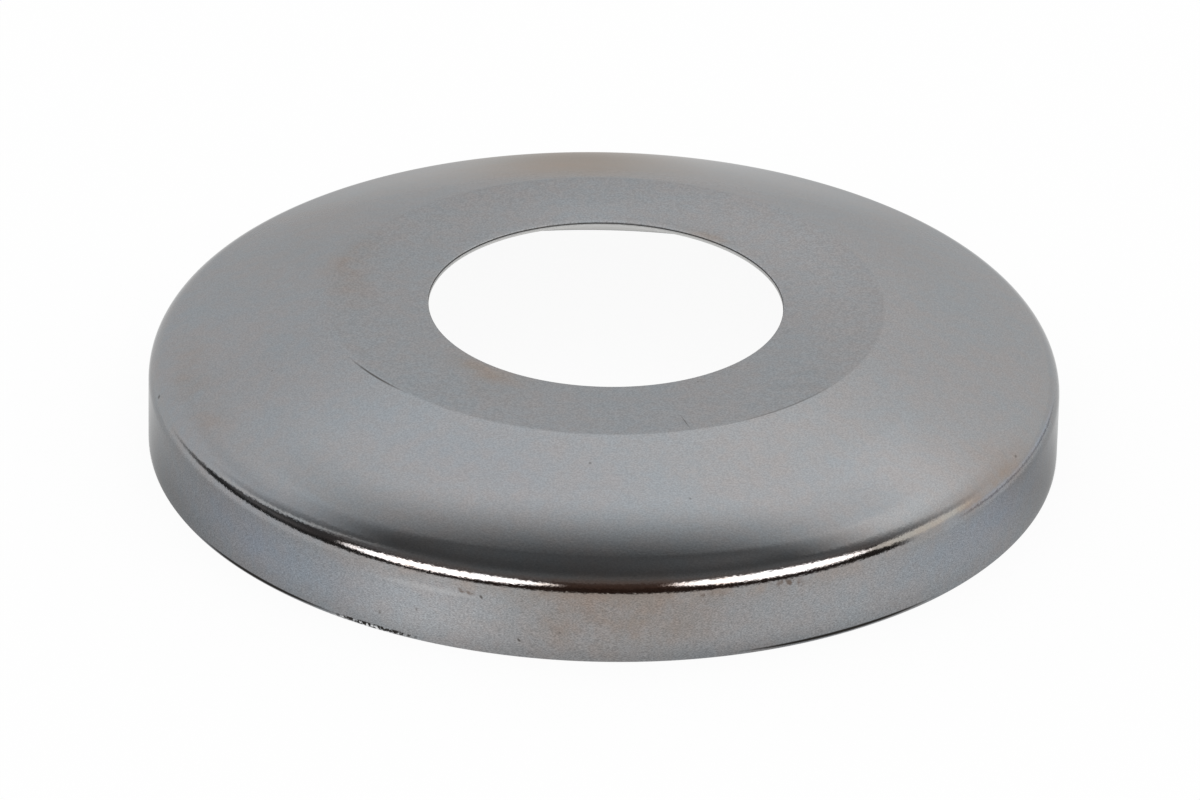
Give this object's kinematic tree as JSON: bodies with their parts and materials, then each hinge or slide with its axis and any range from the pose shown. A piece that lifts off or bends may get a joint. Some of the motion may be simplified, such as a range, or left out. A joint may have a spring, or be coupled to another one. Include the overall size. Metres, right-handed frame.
{
  "type": "tap escutcheon",
  "caption": "Shallow domed round cover plate with a flat ring, a plain pipe hole and a short skirt, hollow behind, that hides the wall opening around a tap's connection.",
  "frame": {"origin": "middle of the rim, in the plane of the wall that the skirt stands on", "axes": "+Z along the pipe hole, away from the wall; the plate is round, so +X and +Y may point anywhere in the wall"},
  "size_m": [0.055, 0.055, 0.009],
  "materials": {
    "chrome_plate": "chrome plating on pressed steel sheet, handled and slightly dulled, with fine scuffs and faint tarnish"
  },
  "bodies": {
    "root": {"escutcheon": "chrome_plate"}
  },
  "joints": []
}
